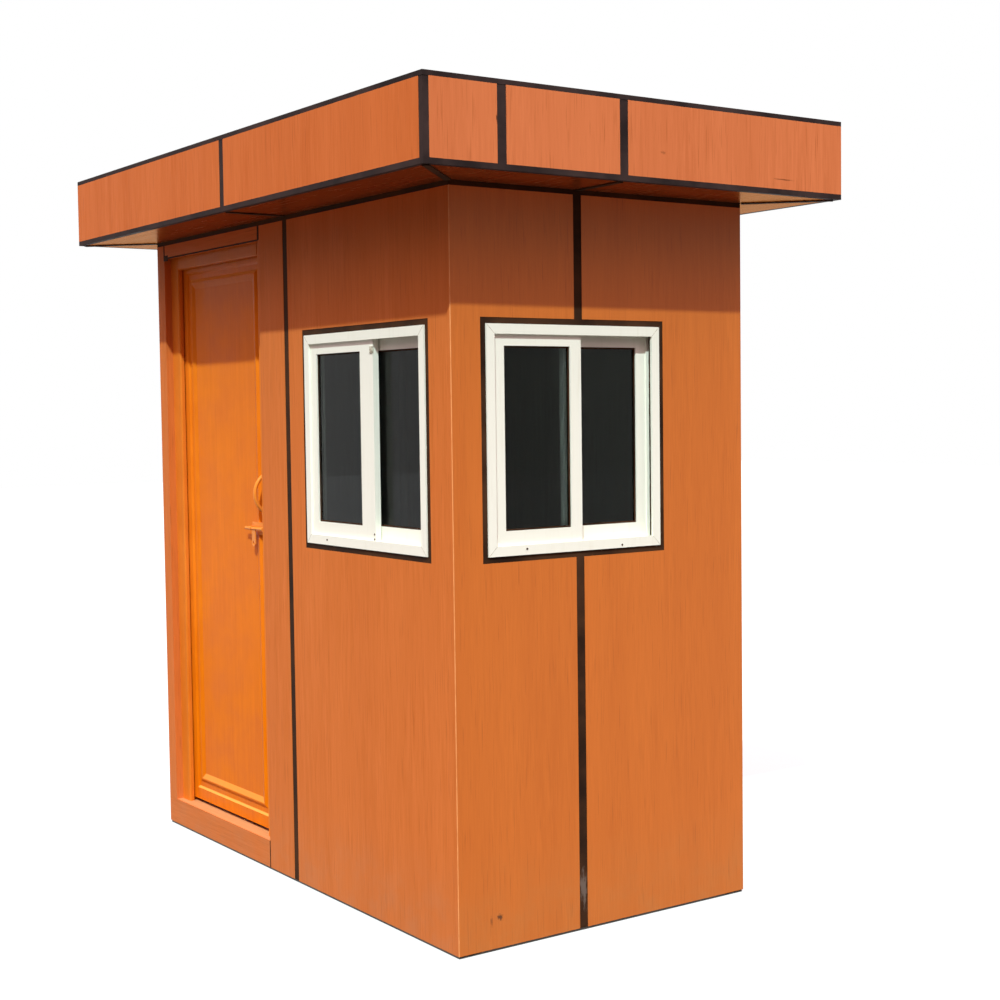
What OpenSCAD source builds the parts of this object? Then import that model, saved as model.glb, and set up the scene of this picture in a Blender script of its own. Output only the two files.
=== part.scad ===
// Guard booth: a small cabin faced with composite sheet, with a panelled door,
// two sliding windows and a flat roof with a deep fascia.
// Every module works from the front left ground corner of the walls, X along the front wall,
// Y back along the door wall, Z up. The booth frame puts the origin at the middle of the base.

/* [Body] */
// Width across the front wall
body_w = 1100; // [1000:10:1400]
// Depth along the door wall
body_d = 2000; // [1960:10:2600]
// Height from the ground to the soffit
soffit_z = 2200; // [2190:10:2500]
// Thickness of a finished wall
wall_t = 60; // [50:1:80]
// Thickness of the facing sheet
sheet_t = 4; // [3:0.5:6]
// Height of the facing sheet's lower edge
facing_z = 8; // [2:1:30]
// Width of a black joint between sheets
joint_w = 30; // [10:1:50]
// How far a joint lies behind the sheet's face
joint_recess = 1; // [0.5:0.5:2]
// Height of the black line where a wall meets the soffit
head_line_h = 15; // [5:1:30]
// Rounding of a folded sheet's corner
fold_r = 3; // [1:0.5:3]
// Place of the front wall's joint, from the corner
front_joint_x = 450; // [440:5:500]
// Place of the door wall's joint, from the corner
left_joint_y = 975; // [930:5:1050]

/* [Base] */
// Height of the steel rails and bearers
rail_h = 80; // [60:5:120]
// Width of the steel rails and bearers
rail_w = 80; // [70:5:120]
// Wall of the rails and bearers
rail_wall_t = 4; // [3:0.5:6]
// Number of bearers between the rails
bearer_count = 4; // [3:1:8]
// Thickness of the floor deck
deck_t = 20; // [12:1:30]

/* [Roof] */
// How far the roof stands out beyond the walls
overhang = 220; // [150:5:300]
// Height of the fascia
fascia_h = 240; // [150:5:300]
// Height of the black line along the fascia's foot
foot_line_h = 16; // [8:1:25]
// Height of the black line along the fascia's top
top_line_h = 14; // [12:1:25]
// Width of the black strip on each side of a trimmed corner
corner_strip_w = 20; // [10:1:40]
// Place of the short front fascia joint beside the corner
fascia_joint_x = 30; // [0:5:120]
// Width of a joint in the soffit
soffit_joint_w = 16; // [8:1:30]
// Inward reach of the foot line under the soffit
foot_flange_w = 14; // [10:1:30]
// Inward reach of the top line over the roof sheet
top_flange_w = 30; // [20:1:60]
// How far the roof sheet lies below the top line
sheet_drop = 6; // [2:1:10]
// Thickness of the ceiling panel
ceiling_t = 8; // [4:1:15]

/* [Windows] */
// Height of the underside of the window frames
window_z = 1141; // [1000:1:1200]
// Height of the window frames
window_h = 664; // [500:2:750]
// Width of the front window's frame
front_window_w = 638; // [560:2:660]
// Place of the middle of the front window
front_window_mid = 438; // [430:1:500]
// Width of the front window's meeting stiles
front_meeting_w = 40; // [35:1:60]
// Overlap of the front window's sashes
front_lap = 48; // [40:1:60]
// Width of the door wall's window frame
left_window_w = 716; // [560:2:730]
// Place of the middle of the door wall's window
left_window_y = 491; // [470:1:500]
// Width of the door wall window's meeting stiles
left_meeting_w = 78; // [35:1:90]
// Overlap of the door wall window's sashes
left_lap = 120; // [80:1:130]
// Width of the frame's face
frame_face = 29; // [25:1:45]
// How far the frame stands out of the sheet
frame_proud = 4; // [1:0.5:10]
// Thickness of the frame's outer lip
lip_t = 8; // [6:1:20]
// Depth of one sash track
track_t = 20; // [16:1:26]
// Thickness of the rib between the tracks
rib_t = 4; // [3:0.5:6]
// Thickness of the frame's inner lip
back_lip_t = 8; // [5:1:12]
// How far the tracks are sunk into the frame
track_sink = 12; // [8:1:16]
// Width of the black sealant round a frame
sealant_w = 18; // [8:1:25]
// Width of a sash stile beside the frame
stile_w = 37; // [30:1:50]
// Height of a sash's top rail
top_rail_h = 33; // [20:1:50]
// Height of a sash's bottom rail
bottom_rail_h = 42; // [25:1:60]
// Thickness of a pane
pane_t = 5; // [3:0.5:8]
// How far a pane reaches into its sash
pane_grip = 8; // [4:1:12]
// Play of a sash in its track
sash_play = 0.25; // [0.1:0.05:0.5]
// Play over a sash
sash_lift = 4; // [2:0.5:6]

/* [Door frame] */
// Near edge of the door opening in the sheet
opening_y = 1165; // [1160:5:1190]
// Height of the wall left over the door opening
lintel_h = 62; // [50:2:100]
// Depth of the reveal in front of the frame
reveal = 26; // [15:1:32]
// Width of the frame's face on the jambs
jamb_face = 65; // [45:1:75]
// Height of the frame's face at the head
head_face = 46; // [40:1:70]
// Thickness of the frame's stop
stop_t = 16; // [15:1:25]
// Overlap of the stop on the leaf
stop_lap = 12; // [8:1:15]
// Rounding of the stop's edge
stop_round = 6; // [3:0.5:10]

/* [Door leaf] */
// Thickness of the leaf
leaf_t = 30; // [25:1:40]
// Clearance between the leaf and the stop
leaf_clear = 5; // [5:0.5:8]
// Clearance round the edges of the leaf
edge_clear = 6; // [6:0.5:8]
// Clearance under the leaf
floor_clear = 14; // [5:0.5:20]
// Flat margin beside the moulding, from the stop's edge
side_margin = 26; // [20:1:90]
// Flat margin over the moulding, from the stop's edge
top_margin = 16; // [12:1:90]
// Flat margin under the moulding
bottom_margin = 42; // [35:1:120]
// Depth of the moulding and the sunk panel
mould_d = 6; // [3:0.5:7]
// Width of the slope from the margin down into the groove
slope_w = 7; // [4:0.5:12]
// Width of the groove at its floor
groove_w = 17; // [3:0.5:24]
// Width of the slope from the groove up to the ridge
rise_w = 12; // [4:0.5:16]
// Width of the flat top of the ridge
ridge_w = 5; // [4:1:24]
// Width of the slope from the ridge down to the panel
panel_slope_w = 19; // [8:0.5:24]

/* [Handle and latch] */
// Height of the middle of the pull handle
handle_z = 1283; // [1265:1:1400]
// Distance between the feet of the pull handle
handle_span = 128; // [80:1:140]
// Reach of the pull handle from the leaf
handle_reach = 43; // [35:1:44]
// Radius of the pull handle's bar
handle_r = 6.5; // [4:0.5:7]
// Radius of the handle's feet
foot_r = 10; // [9:0.5:14]
// Thickness of the handle's feet
foot_t = 4; // [3:0.5:6]
// Distance of the handle from the stop's edge
handle_inset = 16; // [15:1:40]
// Height of the latch rod
latch_z = 1160; // [1130:1:1170]
// Radius of the latch rod
rod_r = 5; // [3.5:0.25:5]
// Running clearance round the latch rod
rod_clear = 0.3; // [0.2:0.05:0.5]
// Radial clearance of the rod in the jamb
keep_clear = 1.5; // [1:0.25:1.5]
// Distance of the rod's axis from the leaf
rod_stand = 13; // [11:0.5:13]
// Length of the latch rod
rod_l = 134; // [134:1:180]
// Gap between the rod's tip and the jamb
rod_gap = 6; // [5:0.5:8]
// Travel of the latch rod
rod_travel = 40; // [25:1:42]
// Thickness of the latch plate
plate_t = 2; // [1.5:0.25:3]
// Height of the latch plate
plate_h = 44; // [34:1:60]
// Length of the latch plate
plate_l = 104; // [100:1:110]
// Width of a rod guide
guide_w = 14; // [8:1:18]
// Wall of a rod guide over the rod
guide_wall = 2; // [1.5:0.25:3]
// Length of the hasp below the rod
hasp_l = 62; // [45:1:75]
// Width of the hasp
hasp_w = 24; // [16:1:25]
// Thickness of the hasp
hasp_t = 4; // [3:0.5:5]
// Radius of the hasp's padlock hole
hasp_hole_r = 6; // [4:0.5:7]

/* [Hinges] */
// Number of hinges
hinge_count = 3; // [2:1:4]
// Height of a hinge
hinge_h = 90; // [60:2:120]
// Width of a hinge plate from the pin
hinge_w = 38; // [25:1:45]
// Thickness of a hinge plate
hinge_t = 2.5; // [2:0.25:3]
// Radius of the hinge barrel
barrel_r = 6; // [5:0.25:6]
// Radius of the hinge pin
pin_r = 3; // [2:0.25:3.5]
// Running clearance of the hinge
hinge_clear = 0.3; // [0.2:0.05:0.4]
// Gap between the barrel and the plates of the other side
barrel_gap = 1.5; // [1:0.25:2]
// Distance of the outer hinges from the leaf's ends
hinge_inset = 180; // [120:5:250]

/* [Hidden] */

$fn = 48;
// Overrun of every cut past the faces that it opens
overrun = 1;

// Walls, floor and roof levels
floor_z = rail_h + deck_t;
core_top_z = soffit_z + sheet_t;
facing_top_z = soffit_z - head_line_h;
joint_t = sheet_t - joint_recess;
roof_z = soffit_z + fascia_h;
roof_sheet_z = roof_z - sheet_drop;
core_roof_z = roof_sheet_z - sheet_t;
fascia_low_z = soffit_z + foot_line_h;
fascia_high_z = roof_z - top_line_h;
right_joint_y = body_d / 2;
back_joint_x = body_w / 2;

// Windows
window_top_z = window_z + window_h;
frame_back = lip_t - frame_proud + track_t + rib_t + track_t + back_lip_t;
outer_track = lip_t - frame_proud;
inner_track = outer_track + track_t + rib_t;
// Each window: its near edge, its width, its meeting stiles' width and its sashes' overlap
front_win = [front_window_mid - front_window_w / 2, front_window_w, front_meeting_w, front_lap];
left_win = [left_window_y - left_window_w / 2, left_window_w, left_meeting_w, left_lap];

// Door frame, measured along the wall and inwards from the sheet's face
opening_head_z = soffit_z - lintel_h;
frame_low_y = opening_y - sheet_t;
frame_high_y = body_d - wall_t;
stop_low_y = opening_y + jamb_face;
stop_high_y = frame_high_y - sheet_t - jamb_face;
leaf_low_y = stop_low_y - stop_lap;
leaf_high_y = stop_high_y + stop_lap;
rebate_low_y = leaf_low_y - edge_clear;
rebate_high_y = leaf_high_y + edge_clear;
stop_head_z = opening_head_z - head_face;
leaf_low_z = floor_z + floor_clear;
leaf_high_z = stop_head_z + stop_lap;
rebate_head_z = leaf_high_z + edge_clear;
frame_head_z = opening_head_z + sheet_t;
stop_back = reveal + stop_t;
leaf_face = stop_back + leaf_clear;
leaf_back = leaf_face + leaf_t;

// Hinge pin, in the gap beside the leaf and clear of its inner face
pin_x = leaf_back + barrel_r;
pin_y = leaf_high_y + edge_clear / 2;
knuckle_h = hinge_h / 3;

// Latch rod
rod_x = leaf_face - rod_stand;
rod_tip_y = stop_low_y + rod_gap;
keep_r = rod_r + keep_clear;
guide_r = rod_r + rod_clear;

facing_colour = [0.80, 0.45, 0.24];
door_colour = [0.90, 0.48, 0.13];
joint_colour = [0.13, 0.11, 0.10];
lining_colour = [0.86, 0.84, 0.78];
window_colour = [0.95, 0.94, 0.89];
glass_colour = [0.20, 0.24, 0.25];
steel_colour = [0.22, 0.22, 0.23];
deck_colour = [0.47, 0.43, 0.38];
zinc_colour = [0.66, 0.68, 0.70];

// Shapes that repeat

// Puts a shape drawn from the front left corner into the booth's frame
module booth() {
    translate([-body_w / 2, -body_d / 2, 0]) children();
}

// Turns a shape drawn for the front wall onto the door wall
module on_left() {
    mirror([1, -1, 0]) children();
}

// Box between two corners
module box(low, high) {
    translate(low) cube(high - low);
}

// What rounding takes off an upright edge at the origin of a solid that lies towards +X and +Y
module edge_cut(r, length) {
    difference() {
        translate([-overrun, -overrun, 0]) cube([r + overrun, r + overrun, length]);
        translate([r, r, -overrun]) cylinder(h = length + 2 * overrun, r = r);
    }
}

// The same for a folded corner of the facing, at a corner of the walls
module fold_cut(x, y, turn) {
    translate([x, y, facing_z - overrun])
        rotate([0, 0, turn]) edge_cut(fold_r, facing_top_z - facing_z + 2 * overrun);
}

// Hollow rail of the base along Y
module rail(length) {
    difference() {
        cube([rail_w, length, rail_h]);
        translate([rail_wall_t, -overrun, rail_wall_t])
            cube([rail_w - 2 * rail_wall_t, length + 2 * overrun, rail_h - 2 * rail_wall_t]);
    }
}

// Hollow bearer of the base along X
module bearer(length) {
    translate([length, 0, 0]) rotate([0, 0, 90]) rail(length);
}

// Opening for a window through a wall or sheet, wider all round by grow
module window_hole(win, grow) {
    box([win[0] - grow, -overrun, window_z - grow],
        [win[0] + win[1] + grow, wall_t + overrun, window_top_z + grow]);
}

// Black sealant round a window frame, in the joint between it and the sheet
module sealant_ring(win) {
    difference() {
        box([win[0] - sealant_w, joint_recess, window_z - sealant_w],
            [win[0] + win[1] + sealant_w, sheet_t, window_top_z + sealant_w]);
        window_hole(win, 0);
    }
}

// Window frame with two sunk sash tracks and a rib between them
module window_frame(win) {
    low_u = win[0] + frame_face;
    high_u = win[0] + win[1] - frame_face;
    difference() {
        box([win[0], -frame_proud, window_z], [win[0] + win[1], frame_back, window_top_z]);
        box([low_u, -frame_proud - overrun, window_z + frame_face],
            [high_u, frame_back + overrun, window_top_z - frame_face]);
        for (track = [outer_track, inner_track])
            box([low_u - track_sink, track, window_z + frame_face - track_sink],
                [high_u + track_sink, track + track_t, window_top_z - frame_face + track_sink]);
    }
}

// Clear width that one of a window's two equal sashes covers, and the width of its pane
function cover_w(win) = (win[1] - 2 * frame_face + win[3]) / 2;
function pane_w(win) = cover_w(win) - stile_w - win[2];
function sash_low_z() = window_z + frame_face - track_sink;
function sash_high_z() = window_top_z - frame_face + track_sink - sash_lift;
function pane_low_z() = window_z + frame_face + bottom_rail_h;
function pane_high_z() = window_top_z - frame_face - top_rail_h;

// Places along the wall of a sash and of its pane: the low sash or the high one
function high_sash_u(win) = win[0] + win[1] - frame_face - cover_w(win);
function sash_u(win, low) =
    low ? win[0] + frame_face - track_sink + sash_play : high_sash_u(win);
function pane_u(win, low) = low ? win[0] + frame_face + stile_w : high_sash_u(win) + win[2];

module pane(win, low, track) {
    middle = track + track_t / 2;
    box([pane_u(win, low) - pane_grip, middle - pane_t / 2, pane_low_z() - pane_grip],
        [pane_u(win, low) + pane_w(win) + pane_grip, middle + pane_t / 2,
            pane_high_z() + pane_grip]);
}

// Sash with a glazing groove for its pane
module sash(win, low, track) {
    sash_w = cover_w(win) + track_sink - sash_play;
    difference() {
        box([sash_u(win, low), track + sash_play, sash_low_z()],
            [sash_u(win, low) + sash_w, track + track_t - sash_play, sash_high_z()]);
        box([pane_u(win, low), track - overrun, pane_low_z()],
            [pane_u(win, low) + pane_w(win), track + track_t + overrun, pane_high_z()]);
        pane(win, low, track);
    }
}

// Rectangular frustum on the YZ plane, growing along X from its first outline to its second
module frustum(low, high, first_in, second_in, depth) {
    intersection() {
        translate([0, 0, low[1]])
            linear_extrude(high[1] - low[1])
                polygon([[0, low[0] + first_in], [0, high[0] - first_in],
                    [depth, high[0] - second_in], [depth, low[0] + second_in]]);
        translate([0, high[0], 0])
            rotate([90, 0, 0])
                linear_extrude(high[0] - low[0])
                    polygon([[0, low[1] + first_in], [0, high[1] - first_in],
                        [depth, high[1] - second_in], [depth, low[1] + second_in]]);
    }
}

// What the moulding takes out of a face of the leaf at X = 0, going in along X:
// a groove with sloping sides, and the sunk panel inside the ridge beside it
module moulding_cut() {
    low = [stop_low_y + side_margin, leaf_low_z + bottom_margin];
    high = [stop_high_y - side_margin, stop_head_z - top_margin];
    rise_in = slope_w + groove_w;
    ridge_in = rise_in + rise_w;
    fall_in = ridge_in + ridge_w;
    panel_in = fall_in + panel_slope_w;
    difference() {
        frustum(low, high, 0, slope_w, mould_d);
        difference() {
            frustum(low, high, ridge_in, rise_in, mould_d);
            frustum(low, high, fall_in, panel_in, mould_d);
        }
    }
}

// Profile of a jamb, along the wall and inwards: the stop in front, the rebate behind it.
// The stop's front edge is rounded.
module jamb_profile() {
    stop_w = jamb_face + sheet_t;
    rebate_w = stop_w - stop_lap - edge_clear;
    difference() {
        square([stop_w, stop_t]);
        translate([stop_w - stop_round, 0])
            difference() {
                translate([0, -overrun]) square([stop_round + overrun, stop_round + overrun]);
                translate([0, stop_round]) circle(stop_round);
            }
    }
    translate([0, stop_t]) square([rebate_w, leaf_back - stop_back]);
}

// Jamb along Z, seen from the lock side
module jamb() {
    translate([0, 0, floor_z]) linear_extrude(frame_head_z - floor_z) jamb_profile();
}

// Heights of the middles of the hinges
function hinge_z(i) = leaf_low_z + hinge_inset
    + i * (leaf_high_z - leaf_low_z - 2 * hinge_inset) / (hinge_count - 1);

// Base and floor

module skid_rails() {
    color(steel_colour) booth()
        for (x = [sheet_t, body_w - sheet_t - rail_w])
            translate([x, sheet_t, 0]) rail(body_d - 2 * sheet_t);
}

module floor_bearers() {
    span = body_d - 2 * sheet_t - rail_w;
    color(steel_colour) booth()
        for (i = [0 : bearer_count - 1])
            translate([sheet_t + rail_w, sheet_t + i * span / (bearer_count - 1), 0])
                bearer(body_w - 2 * sheet_t - 2 * rail_w);
}

module floor_deck() {
    color(deck_colour) booth()
        box([wall_t, wall_t, rail_h], [body_w - wall_t, body_d - wall_t, floor_z]);
}

// Walls

module front_wall() {
    color(lining_colour) booth()
        difference() {
            box([sheet_t, sheet_t, rail_h], [body_w - sheet_t, wall_t, core_top_z]);
            window_hole(front_win, 0);
        }
}

module left_wall() {
    color(lining_colour) booth() on_left()
        difference() {
            box([wall_t, sheet_t, rail_h], [frame_low_y, wall_t, core_top_z]);
            window_hole(left_win, 0);
        }
}

module right_wall() {
    color(lining_colour) booth()
        box([body_w - wall_t, wall_t, rail_h], [body_w - sheet_t, body_d - wall_t, core_top_z]);
}

module back_wall() {
    color(lining_colour) booth()
        box([sheet_t, body_d - wall_t, rail_h],
            [body_w - sheet_t, body_d - sheet_t, core_top_z]);
}

module door_lintel() {
    color(lining_colour) booth()
        box([sheet_t, frame_low_y, frame_head_z], [wall_t, frame_high_y, core_top_z]);
}

module door_sill() {
    color(facing_colour) booth()
        box([sheet_t, frame_low_y, rail_h], [wall_t, frame_high_y, floor_z]);
}

// Facing sheets, folded round the corners

module front_left_cladding() {
    color(facing_colour) booth()
        difference() {
            union() {
                box([0, 0, facing_z], [front_joint_x - joint_w / 2, sheet_t, facing_top_z]);
                box([0, 0, facing_z], [sheet_t, left_joint_y - joint_w / 2, facing_top_z]);
            }
            window_hole(front_win, sealant_w);
            on_left() window_hole(left_win, sealant_w);
            fold_cut(0, 0, 0);
        }
}

module front_right_cladding() {
    color(facing_colour) booth()
        difference() {
            union() {
                box([front_joint_x + joint_w / 2, 0, facing_z], [body_w, sheet_t, facing_top_z]);
                box([body_w - sheet_t, 0, facing_z],
                    [body_w, right_joint_y - joint_w / 2, facing_top_z]);
            }
            window_hole(front_win, sealant_w);
            fold_cut(body_w, 0, 90);
        }
}

module back_right_cladding() {
    color(facing_colour) booth()
        difference() {
            union() {
                box([body_w - sheet_t, right_joint_y + joint_w / 2, facing_z],
                    [body_w, body_d, facing_top_z]);
                box([back_joint_x + joint_w / 2, body_d - sheet_t, facing_z],
                    [body_w, body_d, facing_top_z]);
            }
            fold_cut(body_w, body_d, 180);
        }
}

module back_left_cladding() {
    color(facing_colour) booth()
        difference() {
            union() {
                box([sheet_t, body_d - sheet_t, facing_z],
                    [back_joint_x - joint_w / 2, body_d, facing_top_z]);
                box([0, frame_high_y - sheet_t, floor_z], [sheet_t, body_d, facing_top_z]);
                box([0, frame_high_y - sheet_t, floor_z], [reveal, frame_high_y, opening_head_z]);
            }
            fold_cut(0, body_d, 270);
        }
}

module door_side_cladding() {
    color(facing_colour) booth() {
        box([0, left_joint_y + joint_w / 2, facing_z], [sheet_t, opening_y, floor_z]);
        box([0, left_joint_y + joint_w / 2, floor_z], [sheet_t, opening_y, facing_top_z]);
        box([0, frame_low_y, floor_z], [reveal, opening_y, opening_head_z]);
    }
}

module lintel_cladding() {
    color(facing_colour) booth() {
        box([0, opening_y, opening_head_z], [sheet_t, frame_high_y - sheet_t, facing_top_z]);
        box([0, opening_y, opening_head_z], [reveal, frame_high_y - sheet_t, frame_head_z]);
    }
}

module sill_cladding() {
    color(facing_colour) booth()
        difference() {
            box([0, opening_y, facing_z], [sheet_t, body_d, floor_z]);
            fold_cut(0, body_d, 270);
        }
}

// Upright joints, and the black line where the walls meet the soffit
module wall_joint_strips() {
    color(joint_colour) booth() {
        difference() {
            box([joint_recess, joint_recess, facing_top_z],
                [body_w - joint_recess, body_d - joint_recess, soffit_z]);
            box([sheet_t, sheet_t, facing_top_z - overrun],
                [body_w - sheet_t, body_d - sheet_t, soffit_z + overrun]);
        }
        difference() {
            box([front_joint_x - joint_w / 2, joint_recess, facing_z],
                [front_joint_x + joint_w / 2, sheet_t, facing_top_z]);
            window_hole(front_win, sealant_w);
        }
        box([joint_recess, left_joint_y - joint_w / 2, facing_z],
            [sheet_t, left_joint_y + joint_w / 2, facing_top_z]);
        box([body_w - sheet_t, right_joint_y - joint_w / 2, facing_z],
            [body_w - joint_recess, right_joint_y + joint_w / 2, facing_top_z]);
        box([back_joint_x - joint_w / 2, body_d - sheet_t, facing_z],
            [back_joint_x + joint_w / 2, body_d - joint_recess, facing_top_z]);
    }
}

// Windows

module window_sealant() {
    color(joint_colour) booth() {
        sealant_ring(front_win);
        on_left() sealant_ring(left_win);
    }
}

module front_window_frame() {
    color(window_colour) booth() window_frame(front_win);
}

module front_outer_sash() {
    color(window_colour) booth() sash(front_win, true, outer_track);
}

module front_inner_sash() {
    color(window_colour) booth() sash(front_win, false, inner_track);
}

module front_panes() {
    color(glass_colour) booth() {
        pane(front_win, true, outer_track);
        pane(front_win, false, inner_track);
    }
}

module left_window_frame() {
    color(window_colour) booth() on_left() window_frame(left_win);
}

module left_outer_sash() {
    color(window_colour) booth() on_left()
        sash(left_win, false, outer_track);
}

module left_inner_sash() {
    color(window_colour) booth() on_left()
        sash(left_win, true, inner_track);
}

module left_panes() {
    color(glass_colour) booth() on_left() {
        pane(left_win, false, outer_track);
        pane(left_win, true, inner_track);
    }
}

// Door frame

// Blind hole in the lock jamb that takes the latch rod
module keep_hole() {
    depth = rod_travel + keep_clear;
    translate([stop_low_y - depth, rod_x, latch_z])
        rotate([0, 90, 0]) cylinder(h = depth + overrun, r = keep_r);
}

module lock_jamb() {
    color(door_colour) booth() on_left()
        difference() {
            translate([frame_low_y, reveal, 0]) jamb();
            keep_hole();
        }
}

module hinge_jamb() {
    color(door_colour) booth() on_left()
        translate([frame_high_y, reveal, 0]) mirror([1, 0, 0]) jamb();
}

module door_head() {
    color(door_colour) booth() {
        difference() {
            box([reveal, stop_low_y, stop_head_z], [stop_back, stop_high_y, frame_head_z]);
            translate([reveal, stop_high_y + overrun, stop_head_z])
                rotate([90, 0, 0])
                    edge_cut(stop_round, stop_high_y - stop_low_y + 2 * overrun);
        }
        box([stop_back, rebate_low_y, rebate_head_z], [leaf_back, rebate_high_y, frame_head_z]);
    }
}

// Door leaf and what it carries

module door_leaf() {
    color(door_colour) booth()
        difference() {
            box([leaf_face, leaf_low_y, leaf_low_z], [leaf_back, leaf_high_y, leaf_high_z]);
            translate([leaf_face, 0, 0]) moulding_cut();
            translate([leaf_back, 0, 0]) mirror([1, 0, 0]) moulding_cut();
        }
}

// Bow handle: an arc of a round bar between two feet
module door_handle() {
    half = handle_span / 2;
    rise = handle_reach - handle_r;
    bow_r = (half * half + rise * rise) / (2 * rise);
    sweep = 2 * asin(half / bow_r);
    color(door_colour) booth()
        translate([leaf_face, stop_low_y + handle_inset, handle_z]) {
            for (side = [-1, 1])
                translate([0, 0, side * half])
                    rotate([0, -90, 0]) cylinder(h = foot_t, r = foot_r);
            intersection() {
                translate([bow_r - rise, 0, 0])
                    rotate([90, 0, 0])
                        rotate([0, 0, 180 - sweep])
                            rotate_extrude(angle = 2 * sweep)
                                translate([bow_r, 0]) circle(handle_r);
                translate([-handle_reach - overrun, -foot_r, -half - foot_r])
                    cube([handle_reach + overrun, 2 * foot_r, handle_span + 2 * foot_r]);
            }
        }
}

// Plate of the sliding latch with two guides for its rod
module latch_plate() {
    guide_h = guide_r + guide_wall;
    plate_y = stop_low_y + rod_gap;
    color(door_colour) booth()
        difference() {
            union() {
                box([leaf_face - plate_t, plate_y, latch_z - plate_h / 2],
                    [leaf_face, plate_y + plate_l, latch_z + plate_h / 2]);
                for (y = [plate_y, plate_y + plate_l - guide_w])
                    translate([rod_x, y, latch_z]) {
                        rotate([-90, 0, 0]) cylinder(h = guide_w, r = guide_h);
                        translate([0, 0, -guide_h])
                            cube([rod_stand - plate_t, guide_w, 2 * guide_h]);
                    }
            }
            translate([rod_x, plate_y - overrun, latch_z])
                rotate([-90, 0, 0]) cylinder(h = plate_l + 2 * overrun, r = guide_r);
        }
}

// Latch rod with the hasp that hangs from it between the guides
module latch_bolt() {
    hasp_y = rod_tip_y + plate_l - guide_w - hasp_w - rod_gap;
    color(door_colour) booth()
        difference() {
            union() {
                translate([rod_x, rod_tip_y, latch_z])
                    rotate([-90, 0, 0]) cylinder(h = rod_l, r = rod_r);
                translate([rod_x - hasp_t / 2, hasp_y, latch_z - hasp_l + hasp_w / 2])
                    cube([hasp_t, hasp_w, hasp_l - hasp_w / 2]);
                translate([rod_x - hasp_t / 2, hasp_y + hasp_w / 2, latch_z - hasp_l + hasp_w / 2])
                    rotate([0, 90, 0]) cylinder(h = hasp_t, r = hasp_w / 2);
            }
            translate([rod_x - hasp_t, hasp_y + hasp_w / 2, latch_z - hasp_l + hasp_w / 2])
                rotate([0, 90, 0]) cylinder(h = 2 * hasp_t, r = hasp_hole_r);
        }
}

// One knuckle of a hinge, with its tab to the plate on the given side of the pin
module knuckle(low_z, high_z, side) {
    translate([pin_x, pin_y, low_z]) cylinder(h = high_z - low_z, r = barrel_r);
    reach = barrel_r + barrel_gap + hinge_t;
    box([leaf_back, side > 0 ? pin_y : pin_y - reach, low_z],
        [leaf_back + hinge_t, side > 0 ? pin_y + reach : pin_y, high_z]);
}

// Plate of a hinge on the given side of the pin
module hinge_plate(low_z, high_z, side) {
    near = barrel_r + barrel_gap;
    box([leaf_back, side > 0 ? pin_y + near : pin_y - hinge_w, low_z],
        [leaf_back + hinge_t, side > 0 ? pin_y + hinge_w : pin_y - near, high_z]);
}

// Hinge halves on the frame: two knuckles each, and the pin
module frame_hinges() {
    color(door_colour) booth()
        for (i = [0 : hinge_count - 1]) {
            low_z = hinge_z(i) - hinge_h / 2;
            hinge_plate(low_z, low_z + hinge_h, 1);
            knuckle(low_z, low_z + knuckle_h - hinge_clear, 1);
            knuckle(low_z + 2 * knuckle_h + hinge_clear, low_z + hinge_h, 1);
            translate([pin_x, pin_y, low_z]) cylinder(h = hinge_h, r = pin_r);
        }
}

// Hinge halves on the leaf: the middle knuckle of each
module leaf_hinges() {
    color(door_colour) booth()
        for (i = [0 : hinge_count - 1]) {
            low_z = hinge_z(i) - hinge_h / 2;
            hinge_plate(low_z, low_z + hinge_h, -1);
            difference() {
                knuckle(low_z + knuckle_h, low_z + 2 * knuckle_h, -1);
                translate([pin_x, pin_y, low_z]) cylinder(h = hinge_h, r = pin_r + hinge_clear);
            }
        }
}

// Roof

module ceiling_panel() {
    color(lining_colour) booth()
        box([wall_t, wall_t, core_top_z - ceiling_t],
            [body_w - wall_t, body_d - wall_t, core_top_z]);
}

// Closed roof panel behind the fascia, over the walls
module roof_frame() {
    reach = overhang - sheet_t;
    color(steel_colour) booth()
        box([-reach, -reach, core_top_z], [body_w + reach, body_d + reach, core_roof_z]);
}

// Lines of the soffit's joints: a mitre at each corner and one joint on each side
module soffit_lines(low_z, high_z) {
    reach = overhang + overrun;
    inner = sheet_t + overrun;
    for (corner = [[0, 0, 225], [body_w, 0, 315], [body_w, body_d, 45], [0, body_d, 135]])
        translate([corner[0], corner[1], low_z]) rotate([0, 0, corner[2]])
            translate([-soffit_joint_w, -soffit_joint_w / 2, 0])
                cube([2 * reach, soffit_joint_w, high_z - low_z]);
    for (line = [[front_joint_x, -reach], [back_joint_x, body_d - inner]])
        translate([line[0] - soffit_joint_w / 2, line[1], low_z])
            cube([soffit_joint_w, reach + inner, high_z - low_z]);
    for (line = [[-reach, left_joint_y], [body_w - inner, right_joint_y]])
        translate([line[0], line[1] - soffit_joint_w / 2, low_z])
            cube([reach + inner, soffit_joint_w, high_z - low_z]);
}

// Ring of the soffit between the walls and the foot line of the fascia
module soffit_ring(low_z, high_z) {
    reach = overhang - sheet_t - foot_flange_w;
    difference() {
        box([-reach, -reach, low_z], [body_w + reach, body_d + reach, high_z]);
        box([sheet_t, sheet_t, low_z - overrun],
            [body_w - sheet_t, body_d - sheet_t, high_z + overrun]);
    }
}

module soffit_panels() {
    color(facing_colour) booth()
        difference() {
            soffit_ring(soffit_z, core_top_z);
            soffit_lines(soffit_z - overrun, core_top_z + overrun);
        }
}

module soffit_joints() {
    color(joint_colour) booth()
        intersection() {
            soffit_ring(soffit_z + joint_recess, core_top_z);
            soffit_lines(soffit_z, core_top_z + overrun);
        }
}

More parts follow.
